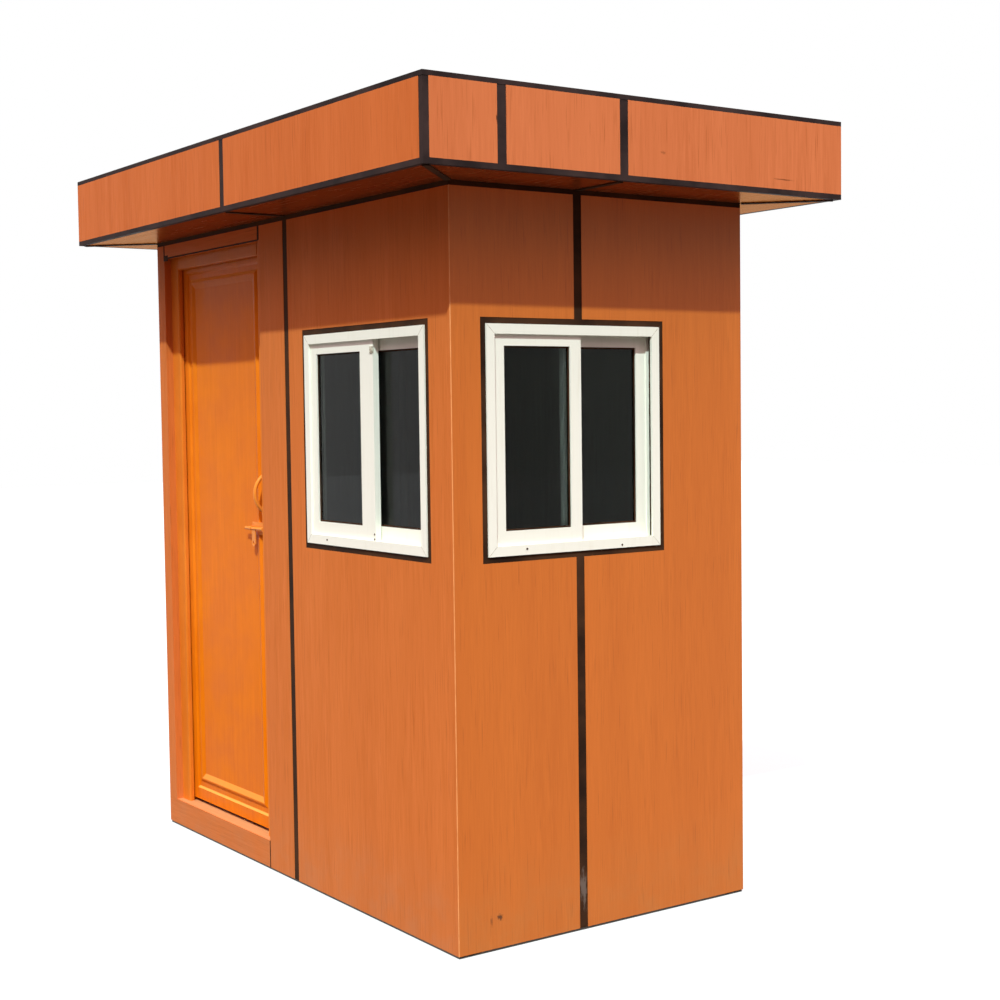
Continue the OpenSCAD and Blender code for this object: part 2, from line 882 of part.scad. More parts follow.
// Upright band round the roof between two depths behind the fascia's face
module roof_band(outer_in, inner_in, low_z, high_z) {
    outer = overhang - outer_in;
    inner = overhang - inner_in;
    difference() {
        box([-outer, -outer, low_z], [body_w + outer, body_d + outer, high_z]);
        box([-inner, -inner, low_z - overrun],
            [body_w + inner, body_d + inner, high_z + overrun]);
    }
}

// Places of the upright fascia joints and trimmed corners, as boxes through the band
module fascia_lines(low_z, high_z) {
    far = overhang + overrun;
    for (x = [fascia_joint_x, front_joint_x])
        box([x - joint_w / 2, -far, low_z], [x + joint_w / 2, 0, high_z]);
    box([back_joint_x - joint_w / 2, body_d, low_z],
        [back_joint_x + joint_w / 2, body_d + far, high_z]);
    box([-far, left_joint_y - joint_w / 2, low_z], [0, left_joint_y + joint_w / 2, high_z]);
    box([body_w, right_joint_y - joint_w / 2, low_z],
        [body_w + far, right_joint_y + joint_w / 2, high_z]);
    box([-far, -far, low_z], [corner_strip_w - overhang, corner_strip_w - overhang, high_z]);
    box([body_w + overhang - corner_strip_w, body_d + overhang - corner_strip_w, low_z],
        [body_w + far, body_d + far, high_z]);
}

// Facing sheets of one side of the fascia, parted at the joints
module fascia_side(low, high) {
    color(facing_colour) booth()
        difference() {
            box([low[0], low[1], fascia_low_z], [high[0], high[1], fascia_high_z]);
            fascia_lines(fascia_low_z - overrun, fascia_high_z + overrun);
        }
}

module front_fascia() {
    fascia_side([-overhang, -overhang], [body_w + overhang, sheet_t - overhang]);
}

module back_fascia() {
    fascia_side([-overhang, body_d + overhang - sheet_t],
        [body_w + overhang, body_d + overhang]);
}

module left_fascia() {
    fascia_side([-overhang, sheet_t - overhang],
        [sheet_t - overhang, body_d + overhang - sheet_t]);
}

module right_fascia() {
    fascia_side([body_w + overhang - sheet_t, sheet_t - overhang],
        [body_w + overhang, body_d + overhang - sheet_t]);
}

// Black lines of the roof: foot line, top line, upright joints and trimmed corners
module fascia_trim() {
    color(joint_colour) booth() {
        roof_band(0, sheet_t, soffit_z, fascia_low_z);
        roof_band(0, sheet_t + foot_flange_w, soffit_z, core_top_z);
        roof_band(0, sheet_t, fascia_high_z, roof_sheet_z);
        roof_band(0, top_flange_w, roof_sheet_z, roof_z);
        intersection() {
            roof_band(joint_recess, sheet_t, fascia_low_z, fascia_high_z);
            fascia_lines(fascia_low_z, fascia_high_z);
        }
    }
}

module roof_sheet() {
    reach = overhang - sheet_t;
    color(zinc_colour) booth()
        box([-reach, -reach, core_roof_z], [body_w + reach, body_d + reach, roof_sheet_z]);
}

skid_rails();
floor_bearers();
floor_deck();
front_wall();
left_wall();
right_wall();
back_wall();
door_lintel();
door_sill();
front_left_cladding();
front_right_cladding();
back_right_cladding();
back_left_cladding();
door_side_cladding();
lintel_cladding();
sill_cladding();
wall_joint_strips();
window_sealant();
front_window_frame();
front_outer_sash();
front_inner_sash();
front_panes();
left_window_frame();
left_outer_sash();
left_inner_sash();
left_panes();
lock_jamb();
hinge_jamb();
door_head();
door_leaf();
door_handle();
latch_plate();
latch_bolt();
frame_hinges();
leaf_hinges();
ceiling_panel();
roof_frame();
soffit_panels();
soffit_joints();
front_fascia();
left_fascia();
right_fascia();
back_fascia();
fascia_trim();
roof_sheet();
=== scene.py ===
import math

import bmesh
import bpy
from mathutils import Matrix, Vector


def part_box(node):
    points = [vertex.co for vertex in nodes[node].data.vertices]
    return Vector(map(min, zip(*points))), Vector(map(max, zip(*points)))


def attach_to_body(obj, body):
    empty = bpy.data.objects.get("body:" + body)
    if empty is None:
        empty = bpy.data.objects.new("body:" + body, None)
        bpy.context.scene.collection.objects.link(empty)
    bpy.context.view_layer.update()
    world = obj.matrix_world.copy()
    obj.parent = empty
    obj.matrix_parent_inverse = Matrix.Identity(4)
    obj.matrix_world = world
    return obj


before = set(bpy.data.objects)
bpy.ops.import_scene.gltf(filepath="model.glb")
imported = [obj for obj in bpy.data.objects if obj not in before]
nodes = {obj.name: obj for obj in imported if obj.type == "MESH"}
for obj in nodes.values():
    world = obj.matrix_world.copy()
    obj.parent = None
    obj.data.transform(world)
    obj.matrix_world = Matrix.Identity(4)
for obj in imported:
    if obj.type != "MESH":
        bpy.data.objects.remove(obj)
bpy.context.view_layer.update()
print("frame loaded,", len(nodes), "nodes")

mm = 0.001


# Camera, where the photograph was taken from
cameraView = {
    "place": (-3.081, -4.856, 1.562),
    "headingDeg": 34.93,  # from +Y towards +X
    "downDeg": 3.15,
    "rollDeg": 0.73,
    "focalPixels": 1650,
    "imagePixels": 1000,
    "sensorWidth": 36.0,
}


def addCamera(view):
    heading = math.radians(view["headingDeg"])
    down = math.radians(view["downDeg"])
    roll = math.radians(view["rollDeg"])
    forward = Vector((math.sin(heading), math.cos(heading), 0)) * math.cos(down)
    forward.z = -math.sin(down)
    levelRight = Vector((math.cos(heading), -math.sin(heading), 0))
    levelDown = forward.cross(levelRight)
    right = math.cos(roll) * levelRight + math.sin(roll) * levelDown
    up = math.sin(roll) * levelRight - math.cos(roll) * levelDown
    turn = Matrix((right, up, -forward)).transposed().to_4x4()
    bpy.ops.object.camera_add()
    camera = bpy.context.object
    camera.name = "photoCamera"
    camera.matrix_world = Matrix.Translation(view["place"]) @ turn
    camera.data.sensor_width = view["sensorWidth"]
    camera.data.lens = view["sensorWidth"] * view["focalPixels"] / view["imagePixels"]
    bpy.context.scene.camera = camera


bpy.ops.object.select_all(action="DESELECT")
addCamera(cameraView)
bpy.context.scene.view_settings.view_transform = "Standard"
print("camera set")


# Node helpers for materials
def feed(tree, node, inputs):
    for name, value in inputs.items():
        if isinstance(value, bpy.types.NodeSocket):
            tree.links.new(value, node.inputs[name])
        else:
            node.inputs[name].default_value = value


def put(tree, kind, inputs=None, **settings):
    node = tree.nodes.new(kind)
    for name, value in settings.items():
        setattr(node, name, value)
    feed(tree, node, inputs or {})
    return node


def calc(tree, operation, first, second=0.0, clamp=False):
    return put(tree, "ShaderNodeMath", {0: first, 1: second},
               operation=operation, use_clamp=clamp).outputs[0]


def weigh(tree, first, share, second):
    # two values mixed by the share of the first
    return calc(tree, "ADD", calc(tree, "MULTIPLY", first, share),
                calc(tree, "MULTIPLY", second, 1 - share))


def scaled(tree, vector, scale):
    return put(tree, "ShaderNodeVectorMath", {0: vector, 1: scale}, operation="MULTIPLY").outputs[0]


def axisPart(tree, vector, axis):
    return put(tree, "ShaderNodeSeparateXYZ", {0: vector}).outputs[axis]


def blend(tree, factor, first, second, mode="MIX"):
    return put(tree, "ShaderNodeMix", {0: factor, 6: first, 7: second},
               data_type="RGBA", blend_type=mode).outputs[2]


def between(tree, value, low, high, first=0.0, second=1.0):
    return put(tree, "ShaderNodeMapRange", {0: value, 1: low, 2: high, 3: first, 4: second},
               interpolation_type="SMOOTHSTEP").outputs[0]


def mottle(tree, vector, scale, detail, roughness):
    return put(tree, "ShaderNodeTexNoise", {"Vector": vector, "Scale": scale, "Detail": detail,
                                            "Roughness": roughness}).outputs["Fac"]


def stretched(tree, vector, stretch, detail, roughness):
    return mottle(tree, scaled(tree, vector, stretch), 1.0, detail, roughness)


def startGroup(name, inputs, outputs):
    tree = bpy.data.node_groups.new(name, "ShaderNodeTree")
    for label, kind in inputs:
        tree.interface.new_socket(label, in_out="INPUT", socket_type=kind)
    for label, kind in outputs:
        tree.interface.new_socket(label, in_out="OUTPUT", socket_type=kind)
    return tree, tree.nodes.new("NodeGroupInput").outputs, tree.nodes.new("NodeGroupOutput").inputs


def useGroup(tree, group, inputs):
    node = tree.nodes.new("ShaderNodeGroup")
    node.node_tree = group
    feed(tree, node, inputs)
    return node.outputs


numberSocket, vectorSocket = "NodeSocketFloat", "NodeSocketVector"


# Shared effects
grainNoise = {
    # stretch along X, Y and Z, detail and roughness of each noise
    "fine": ((170, 170, 8.0), 4.0, 0.6),
    "middle": ((46, 46, 2.6), 3.0, 0.5),
    "cluster": ((11, 11, 3.0), 2.0, 0.5),
    "pore": ((260, 260, 7.0), 2.0, 0.4),
    "band": ((7, 7, 0.35), 2.0, 0.5),
    "fineShare": 0.6,
    "streakRange": (0.32, 0.68),
    "clusterRange": (0.35, 0.65),
    "clusterSwing": (0.4, 1.1),
    "poreRange": (0.62, 0.72),
    "bandRange": (0.3, 0.7),
}


def woodGrainGroup(noise):
    # printed wood, with the grain along Z: fine streaks, dark pores and broad bands
    tree, given, result = startGroup(
        "woodGrain", [("Vector", vectorSocket)],
        [("Streak", numberSocket), ("Pore", numberSocket), ("Band", numberSocket)])
    place = given["Vector"]
    fine = stretched(tree, place, *noise["fine"])
    middle = stretched(tree, place, *noise["middle"])
    both = weigh(tree, fine, noise["fineShare"], middle)
    cluster = stretched(tree, place, *noise["cluster"])
    swing = calc(tree, "SUBTRACT", between(tree, both, *noise["streakRange"]), 0.5)
    swing = calc(tree, "MULTIPLY", swing,
                 between(tree, cluster, *noise["clusterRange"], *noise["clusterSwing"]))
    pore = stretched(tree, place, *noise["pore"])
    band = stretched(tree, place, *noise["band"])
    tree.links.new(calc(tree, "ADD", swing, 0.5), result["Streak"])
    tree.links.new(between(tree, pore, *noise["poreRange"]), result["Pore"])
    tree.links.new(between(tree, band, *noise["bandRange"]), result["Band"])
    return tree


dustNoise = {
    "patches": (9.0, 6.0, 0.65),
    "patchRange": (0.35, 0.75),
    "patchAmount": (0.25, 1.0),
}


def groundDustGroup(noise):
    # dust that settles on what is near the ground
    tree, given, result = startGroup(
        "groundDust", [("Vector", vectorSocket), ("Height", numberSocket), ("Amount", numberSocket)],
        [("Mask", numberSocket)])
    fade = between(tree, axisPart(tree, given["Vector"], "Z"), 0.0, given["Height"], 1.0, 0.0)
    patches = between(tree, mottle(tree, given["Vector"], *noise["patches"]),
                      *noise["patchRange"], *noise["patchAmount"])
    mask = calc(tree, "MULTIPLY", calc(tree, "MULTIPLY", fade, patches), given["Amount"], clamp=True)
    tree.links.new(mask, result["Mask"])
    return tree


scuffNoise = {
    "tears": (1.6, 4.0, 0.7),
    "tearReach": 2.4,
    "edge": (1.5, 2.1),
}


def scuffGroup(noise):
    # one broken mark of a given size at a given place
    tree, given, result = startGroup(
        "scuff", [("Vector", vectorSocket), ("Place", vectorSocket), ("Size", vectorSocket)],
        [("Mask", numberSocket)])
    away = put(tree, "ShaderNodeVectorMath", {0: given["Vector"], 1: given["Place"]},
               operation="SUBTRACT").outputs[0]
    shares = put(tree, "ShaderNodeVectorMath", {0: away, 1: given["Size"]},
                 operation="DIVIDE").outputs[0]
    reach = put(tree, "ShaderNodeVectorMath", {0: shares}, operation="LENGTH").outputs["Value"]
    tears = mottle(tree, shares, *noise["tears"])
    ragged = calc(tree, "ADD", reach, calc(tree, "MULTIPLY", tears, noise["tearReach"]))
    tree.links.new(between(tree, ragged, *noise["edge"], 1.0, 0.0), result["Mask"])
    return tree


skinNoise = {
    "peel": (2.0, 0.5),  # detail and roughness
    "gloss": (5.0, 4.0, 0.6),
    "glossRange": (0.3, 0.7),
}


def paintSkinGroup(noise):
    # skin of sprayed or brushed paint: fine peel and a slow change of gloss
    tree, given, result = startGroup(
        "paintSkin", [("Vector", vectorSocket), ("Peel", numberSocket)],
        [("Height", numberSocket), ("Gloss", numberSocket)])
    peel = mottle(tree, given["Vector"], given["Peel"], *noise["peel"])
    gloss = between(tree, mottle(tree, given["Vector"], *noise["gloss"]), *noise["glossRange"])
    tree.links.new(peel, result["Height"])
    tree.links.new(gloss, result["Gloss"])
    return tree


rustNoise = {
    "patch": (14.0, 8.0, 0.7),
    "speck": (120.0, 4.0, 0.6),
    "patchShare": 0.65,
    "edge": (0.62, 0.7),
}


def rustGroup(noise):
    # specks and patches of rust
    tree, given, result = startGroup(
        "rust", [("Vector", vectorSocket), ("Spread", numberSocket)],
        [("Mask", numberSocket), ("Tone", numberSocket)])
    patch = mottle(tree, given["Vector"], *noise["patch"])
    speck = mottle(tree, given["Vector"], *noise["speck"])
    level = calc(tree, "ADD", weigh(tree, patch, noise["patchShare"], speck), given["Spread"])
    tree.links.new(between(tree, level, *noise["edge"]), result["Mask"])
    tree.links.new(speck, result["Tone"])
    return tree


woodGrain = woodGrainGroup(grainNoise)
groundDust = groundDustGroup(dustNoise)
scuff = scuffGroup(scuffNoise)
paintSkin = paintSkinGroup(skinNoise)
rust = rustGroup(rustNoise)
print("shared effects made")


# Materials
def startMaterial(name):
    material = bpy.data.materials.new(name)
    material.use_nodes = True
    tree = material.node_tree
    shader = tree.nodes["Principled BSDF"]
    place = tree.nodes.new("ShaderNodeTexCoord").outputs["Object"]
    return material, tree, shader, place


def skinOn(tree, place, look):
    return useGroup(tree, paintSkin, {"Vector": place, "Peel": look["peel"]})


def dustOn(tree, place, look):
    return useGroup(tree, groundDust, {"Vector": place, "Height": look["dustHeight"],
                                       "Amount": look["dustAmount"]})["Mask"]


def markOn(tree, place, spot, size, strength):
    mask = useGroup(tree, scuff, {"Vector": place, "Place": spot, "Size": size})["Mask"]
    return calc(tree, "MULTIPLY", mask, strength)


def skinRoughness(tree, skin, look):
    return between(tree, skin["Gloss"], 0.0, 1.0, *look["roughness"])


def dressShader(tree, shader, colour, rough, height, look):
    tree.links.new(colour, shader.inputs["Base Color"])
    tree.links.new(rough, shader.inputs["Roughness"])
    strength, distance = look["bump"]
    bump = put(tree, "ShaderNodeBump", {"Height": height, "Strength": strength, "Distance": distance})
    tree.links.new(bump.outputs["Normal"], shader.inputs["Normal"])


def setGloss(shader, look):
    shader.inputs["Specular IOR Level"].default_value = look["specular"]
    shader.inputs["Specular Tint"].default_value = look["glossTint"]


facingLook = {
    "light": (0.695, 0.200, 0.047, 1),
    "dark": (0.585, 0.156, 0.032, 1),
    "streakShare": 0.7,  # of the tone, beside the broad bands
    "pore": (0.300, 0.072, 0.016, 1),
    "poreAmount": 0.35,
    "dust": (0.440, 0.300, 0.190, 1),
    "dustHeight": 0.35,
    "dustAmount": 0.22,
    "dustRoughness": 0.3,
    "roughness": (0.42, 0.56),
    "specular": 0.05,
    "glossTint": (1.0, 0.62, 0.38, 1),
    "metal": 0.0,
    "bump": (0.12, 0.4 * mm),
}
fasciaLook = dict(facingLook, light=(0.675, 0.208, 0.078, 1), dark=(0.570, 0.161, 0.055, 1))
sideFasciaLook = dict(facingLook, light=(0.640, 0.172, 0.045, 1), dark=(0.540, 0.133, 0.030, 1))
sillLook = dict(facingLook, light=(0.660, 0.300, 0.115, 1), dark=(0.500, 0.210, 0.078, 1))
# the soffit keeps the facing's print but is coloured darker: painted shade under the roof
soffitShadeLook = dict(facingLook, light=(0.460, 0.125, 0.040, 1), dark=(0.370, 0.092, 0.028, 1),
                  roughness=(0.20, 0.30), specular=0.0, metal=0.52, glossTint=(1.0, 0.66, 0.31, 1))
scuffs = {
    "dark": (0.110, 0.034, 0.013, 1),
    # place, size and strength
    "wall": ((-0.406, -1.0, 0.096), (0.014, 0.02, 0.013), 0.95),
    "wallSide": ((-0.436, -1.0, 0.088), (0.006, 0.02, 0.020), 0.55),
    "fasciaShort": ((0.044, -1.22, 2.289), (0.014, 0.02, 0.006), 0.40),
    "fasciaLong": ((0.522, -1.22, 2.245), (0.055, 0.02, 0.003), 0.75),
    "fasciaSmear": ((-0.536, -1.22, 2.334), (0.004, 0.02, 0.018), 0.9),
}
endShadeCoat = {
    "end": 1.0,  # the front and back faces, coloured deeper than the side faces as painted shade, under a clear coat
    "depth": (1 * mm, 2 * mm),
    "shadeInk": (0.897, 0.832, 0.480, 1),
    "weight": 0.68,
    "roughness": 0.48,
}
# painted highlight along the folded corners of the walls
foldHighlight = {
    "half": (0.55, 1.0),  # the walls' half width and half length
    "width": (1.2 * mm, 3.2 * mm),
    "pale": (0.900, 0.430, 0.180, 1),
    "breaks": (24.0, 3.0, 0.6),
    "breakRange": (0.3, 0.6),
    "amount": (0.3, 0.55),
}


def facingMaterial(name, look, grainTurn, marks=(), highlight=None, coat=None):
    material, tree, shader, place = startMaterial(name)
    turned = put(tree, "ShaderNodeMapping", {"Vector": place, "Rotation": grainTurn}).outputs[0]
    grain = useGroup(tree, woodGrain, {"Vector": turned})
    tone = weigh(tree, grain["Streak"], look["streakShare"], grain["Band"])
    colour = blend(tree, tone, look["dark"], look["light"])
    pores = calc(tree, "MULTIPLY", grain["Pore"], look["poreAmount"])
    colour = blend(tree, pores, colour, look["pore"])
    dust = dustOn(tree, place, look)
    colour = blend(tree, dust, colour, look["dust"])
    for mark in marks:
        colour = blend(tree, markOn(tree, place, *scuffs[mark]), colour, scuffs["dark"])
    # painted shade: the front and back faces take a deeper colour than the side faces of the same
    # sheet, and a clear coat
    if coat:
        reach = calc(tree, "ABSOLUTE", axisPart(tree, place, "Y"))
        face = between(tree, calc(tree, "SUBTRACT", coat["end"], reach), *coat["depth"], 1.0, 0.0)
        colour = blend(tree, face, colour, coat["shadeInk"], "MULTIPLY")
        tree.links.new(calc(tree, "MULTIPLY", face, coat["weight"]), shader.inputs["Coat Weight"])
        shader.inputs["Coat Roughness"].default_value = coat["roughness"]
    if highlight:
        # painted highlight: a pale broken line where the sheet is folded round a corner
        inside = [calc(tree, "SUBTRACT", half, calc(tree, "ABSOLUTE", axisPart(tree, place, axis)))
                  for half, axis in zip(highlight["half"], "XY")]
        line = between(tree, calc(tree, "MAXIMUM", *inside), *highlight["width"], 1.0, 0.0)
        breaks = mottle(tree, place, *highlight["breaks"])
        broken = between(tree, breaks, *highlight["breakRange"], *highlight["amount"])
        colour = blend(tree, calc(tree, "MULTIPLY", line, broken), colour, highlight["pale"])
    low, high = look["roughness"]
    rough = calc(tree, "ADD", calc(tree, "MULTIPLY", grain["Streak"], low - high), high)
    rough = calc(tree, "ADD", rough, calc(tree, "MULTIPLY", dust, look["dustRoughness"]))
    setGloss(shader, look)
    shader.inputs["Metallic"].default_value = look["metal"]
    dressShader(tree, shader, colour, rough, grain["Streak"], look)
    return material


jointLook = {
    "black": (0.022, 0.012, 0.008, 1),
    "dusty": (0.070, 0.033, 0.017, 1),
    "worn": (0.190, 0.150, 0.125, 1),
    # place, size and strength
    "wornSpot": ((-0.10, -1.0, 0.120), (0.018, 0.02, 0.075), 0.75),
    "peel": 240.0,
    "roughness": (0.45, 0.65),
    "specular": 0.02,
    "glossTint": (1.0, 0.75, 0.60, 1),
    "bump": (0.25, 0.5 * mm),
}
fasciaJointLook = dict(jointLook, black=(0.019, 0.014, 0.014, 1), dusty=(0.056, 0.037, 0.034, 1),
                       glossTint=(1.0, 0.90, 0.90, 1))


def jointMaterial(name, look):
    material, tree, shader, place = startMaterial(name)
    skin = skinOn(tree, place, look)
    colour = blend(tree, skin["Gloss"], look["black"], look["dusty"])
    colour = blend(tree, markOn(tree, place, *look["wornSpot"]), colour, look["worn"])
    setGloss(shader, look)
    dressShader(tree, shader, colour, skinRoughness(tree, skin, look), skin["Height"], look)
    return material


creamLook = {
    "clean": (0.905, 0.925, 0.820, 1),
    "aged": (0.760, 0.750, 0.620, 1),
    "streaks": ((60, 60, 4), 4.0, 0.6),
    "streakRange": (0.5, 0.8),
    "agedAmount": 0.5,
    "peel": 420.0,
    "roughness": (0.30, 0.46),
    "specular": 0.3,
    "bump": (0.06, 0.2 * mm),
}


def creamMaterial(look):
    material, tree, shader, place = startMaterial("creamWindow")
    skin = skinOn(tree, place, look)
    streaks = stretched(tree, place, *look["streaks"])
    stain = calc(tree, "MULTIPLY", between(tree, streaks, *look["streakRange"]), skin["Gloss"])
    colour = blend(tree, calc(tree, "MULTIPLY", stain, look["agedAmount"]), look["clean"], look["aged"])
    shader.inputs["Specular IOR Level"].default_value = look["specular"]
    dressShader(tree, shader, colour, skinRoughness(tree, skin, look), skin["Height"], look)
    return material


seamLook = {
    "dirt": (0.300, 0.255, 0.185, 1),
    "clean": creamLook["aged"],
    "patches": (90.0, 3.0, 0.6),
    "patchRange": (0.3, 0.7),
    "roughness": 0.7,
}


def seamMaterial(look):
    material, tree, shader, place = startMaterial("windowSeam")
    patchy = between(tree, mottle(tree, place, *look["patches"]), *look["patchRange"])
    tree.links.new(blend(tree, patchy, look["dirt"], look["clean"]), shader.inputs["Base Color"])
    shader.inputs["Roughness"].default_value = look["roughness"]
    return material


glassLook = {
    "tint": (0.300, 0.325, 0.320, 1),
    "ior": 1.17,
    "smears": ((8, 8, 3), 5.0, 0.6),
    "smearRange": (0.45, 0.8),
    "roughness": (0.0, 0.06),
}


def glassMaterial(look):
    material, tree, shader, place = startMaterial("tintedGlass")
    shader.inputs["Base Color"].default_value = look["tint"]
    shader.inputs["Transmission Weight"].default_value = 1.0
    shader.inputs["IOR"].default_value = look["ior"]
    smears = stretched(tree, place, *look["smears"])
    rough = between(tree, smears, *look["smearRange"], *look["roughness"])
    tree.links.new(rough, shader.inputs["Roughness"])
    return material


doorLook = {
    "light": (0.850, 0.230, 0.015, 1),
    "dark": (0.720, 0.163, 0.007, 1),
    "streakShare": 0.55,  # of the tone, beside the paint's gloss
    "low": (0.94, 0.90, 0.30, 1),
    "lowFrom": (1.05, 0.45),
    # painted shade inside the handle's loop and beside the latch
    "paintedShade": (0.170, 0.050, 0.010, 1),
    # place, size and strength
    "paintedShadeSpots": (((-0.503, 0.266, 1.280), (0.02, 0.016, 0.055), 0.80),
                   ((-0.503, 0.266, 1.105), (0.02, 0.014, 0.030), 0.80)),
    # painted highlight on slopes that face up
    "upHighlight": (0.960, 0.420, 0.090, 1),
    "upHighlightFrom": (0.12, 0.4),
    "upHighlightAmount": 0.7,
    "peel": 150.0,
    "peelHeight": 0.15,
    "sag": ((5, 5, 9), 2.0, 0.5),
    "sagHeight": 6.0,
    "roughness": (0.28, 0.40),
    "specular": 0.05,
    "glossTint": (1.0, 0.45, 0.12, 1),
    "bump": (0.35, 0.5 * mm),
}
doorFrameLook = dict(doorLook, light=(0.790, 0.235, 0.030, 1), dark=(0.650, 0.168, 0.016, 1),
                     low=(0.98, 0.97, 0.85, 1))


def doorMaterial(name, look):
    material, tree, shader, place = startMaterial(name)
    grain = useGroup(tree, woodGrain, {"Vector": place})
    skin = skinOn(tree, place, look)
    tone = weigh(tree, grain["Streak"], look["streakShare"], skin["Gloss"])
    colour = blend(tree, tone, look["dark"], look["light"])
    # deeper towards the foot
    top, foot = look["lowFrom"]
    deeper = between(tree, axisPart(tree, place, "Z"), foot, top, 1.0, 0.0)
    colour = blend(tree, deeper, colour, look["low"], "MULTIPLY")
    # painted shade: dark spots inside the handle's loop and beside the latch
    for spot in look["paintedShadeSpots"]:
        colour = blend(tree, markOn(tree, place, *spot), colour, look["paintedShade"])
    # painted highlight: paler where a slope faces up
    facing = tree.nodes.new("ShaderNodeNewGeometry").outputs["Normal"]
    upward = between(tree, axisPart(tree, facing, "Z"), *look["upHighlightFrom"])
    colour = blend(tree, calc(tree, "MULTIPLY", upward, look["upHighlightAmount"]), colour, look["upHighlight"])
    setGloss(shader, look)
    sag = calc(tree, "MULTIPLY", stretched(tree, place, *look["sag"]), look["sagHeight"])
    height = calc(tree, "ADD", sag, calc(tree, "MULTIPLY", skin["Height"], look["peelHeight"]))
    dressShader(tree, shader, colour, skinRoughness(tree, skin, look), height, look)
    return material


hardwareLook = {
    "paint": (0.800, 0.260, 0.034, 1),
    "steel": (0.210, 0.100, 0.050, 1),
    "chips": -0.04,
    "chipScale": (4, 4, 4),
    "chipRoughness": 0.3,
    "peel": 500.0,
    "roughness": (0.28, 0.50),
    "specular": 0.25,
    "glossTint": (1.0, 0.75, 0.40, 1),
    "bump": (0.2, 0.3 * mm),
}


def hardwareMaterial(look):
    material, tree, shader, place = startMaterial("paintedHardware")
    skin = skinOn(tree, place, look)
    chip = useGroup(tree, rust, {"Vector": scaled(tree, place, look["chipScale"]),
                                 "Spread": look["chips"]})["Mask"]
    colour = blend(tree, chip, look["paint"], look["steel"])
    rough = calc(tree, "ADD", skinRoughness(tree, skin, look),
                 calc(tree, "MULTIPLY", chip, look["chipRoughness"]))
    setGloss(shader, look)
    dressShader(tree, shader, colour, rough, skin["Height"], look)
    return material


steelLook = {
    "primer": (0.040, 0.036, 0.034, 1),
    "rust": (0.190, 0.070, 0.026, 1),
    "rustDark": (0.085, 0.030, 0.014, 1),
    "spread": 0.02,
    "rustRoughness": 0.3,
    "dust": (0.300, 0.245, 0.185, 1),
    "dustHeight": 0.12,
    "dustAmount": 0.35,
    "roughness": 0.55,
    "bump": (0.3, 0.5 * mm),
}


def steelMaterial(look):
    material, tree, shader, place = startMaterial("baseSteel")
    spots = useGroup(tree, rust, {"Vector": place, "Spread": look["spread"]})
    rusty = blend(tree, spots["Tone"], look["rustDark"], look["rust"])
    colour = blend(tree, spots["Mask"], look["primer"], rusty)
    colour = blend(tree, dustOn(tree, place, look), colour, look["dust"])
    rough = calc(tree, "MULTIPLY", spots["Mask"], look["rustRoughness"])
    rough = calc(tree, "ADD", rough, look["roughness"])
    dressShader(tree, shader, colour, rough, spots["Tone"], look)
    return material


floorLook = {
    "light": (0.330, 0.285, 0.235, 1),
    "dark": (0.205, 0.170, 0.135, 1),
    "fleck": (0.520, 0.470, 0.400, 1),
    "clouds": (7.0, 6.0, 0.6),
    "cloudRange": (0.3, 0.7),
    "flecks": (210.0, 2.0, 0.5),
    "fleckRange": (0.62, 0.7),
    "roughness": (0.35, 0.6),
    "bump": (0.15, 0.3 * mm),
}


def vinylMaterial(look):
    material, tree, shader, place = startMaterial("vinylFloor")
    clouds = mottle(tree, place, *look["clouds"])
    flecks = mottle(tree, place, *look["flecks"])
    colour = blend(tree, between(tree, clouds, *look["cloudRange"]), look["dark"], look["light"])
    colour = blend(tree, between(tree, flecks, *look["fleckRange"]), colour, look["fleck"])
    rough = between(tree, clouds, *look["cloudRange"], *look["roughness"])
    dressShader(tree, shader, colour, rough, flecks, look)
    return material


zincLook = {
    "light": (0.215, 0.226, 0.233, 1),
    "dark": (0.150, 0.159, 0.166, 1),
    "spangle": 95.0,
    "stain": (0.135, 0.121, 0.102, 1),
    "stains": (3.0, 7.0, 0.65),
    "stainRange": (0.45, 0.75),
    "stainAmount": 0.6,
    "stainRoughness": 0.3,
    "metal": 0.25,
    "roughness": (0.55, 0.7),
    "bump": (0.1, 0.5 * mm),
}


def zincMaterial(look):
    material, tree, shader, place = startMaterial("zincSheet")
    cells = put(tree, "ShaderNodeTexVoronoi", {"Vector": place, "Scale": look["spangle"]})
    spangle = put(tree, "ShaderNodeSeparateColor", {0: cells.outputs["Color"]}).outputs[0]
    stain = between(tree, mottle(tree, place, *look["stains"]), *look["stainRange"])
    colour = blend(tree, spangle, look["dark"], look["light"])
    colour = blend(tree, calc(tree, "MULTIPLY", stain, look["stainAmount"]), colour, look["stain"])
    metal = calc(tree, "MULTIPLY", calc(tree, "SUBTRACT", 1.0, stain), look["metal"])
    tree.links.new(metal, shader.inputs["Metallic"])
    rough = between(tree, spangle, 0.0, 1.0, *look["roughness"])
    rough = calc(tree, "ADD", rough, calc(tree, "MULTIPLY", stain, look["stainRoughness"]))
    dressShader(tree, shader, colour, rough, stain, look)
    return material


liningLook = {
    "light": (0.760, 0.730, 0.655, 1),
    "dark": (0.650, 0.615, 0.535, 1),
    "dust": (0.420, 0.360, 0.285, 1),
    "dustHeight": 0.6,
    "dustAmount": 0.3,
    "peel": 300.0,
    "roughness": (0.42, 0.58),
    "bump": (0.1, 0.3 * mm),
}


def liningMaterial(look):
    material, tree, shader, place = startMaterial("liningBoard")
    grain = useGroup(tree, woodGrain, {"Vector": place})
    skin = skinOn(tree, place, look)
    colour = blend(tree, grain["Streak"], look["dark"], look["light"])
    colour = blend(tree, dustOn(tree, place, look), colour, look["dust"])
    dressShader(tree, shader, colour, skinRoughness(tree, skin, look), skin["Height"], look)
    return material


rightAngle = math.pi / 2
uprightGrain = (0, 0, 0)
lengthwiseGrain = (rightAngle, 0, 0)

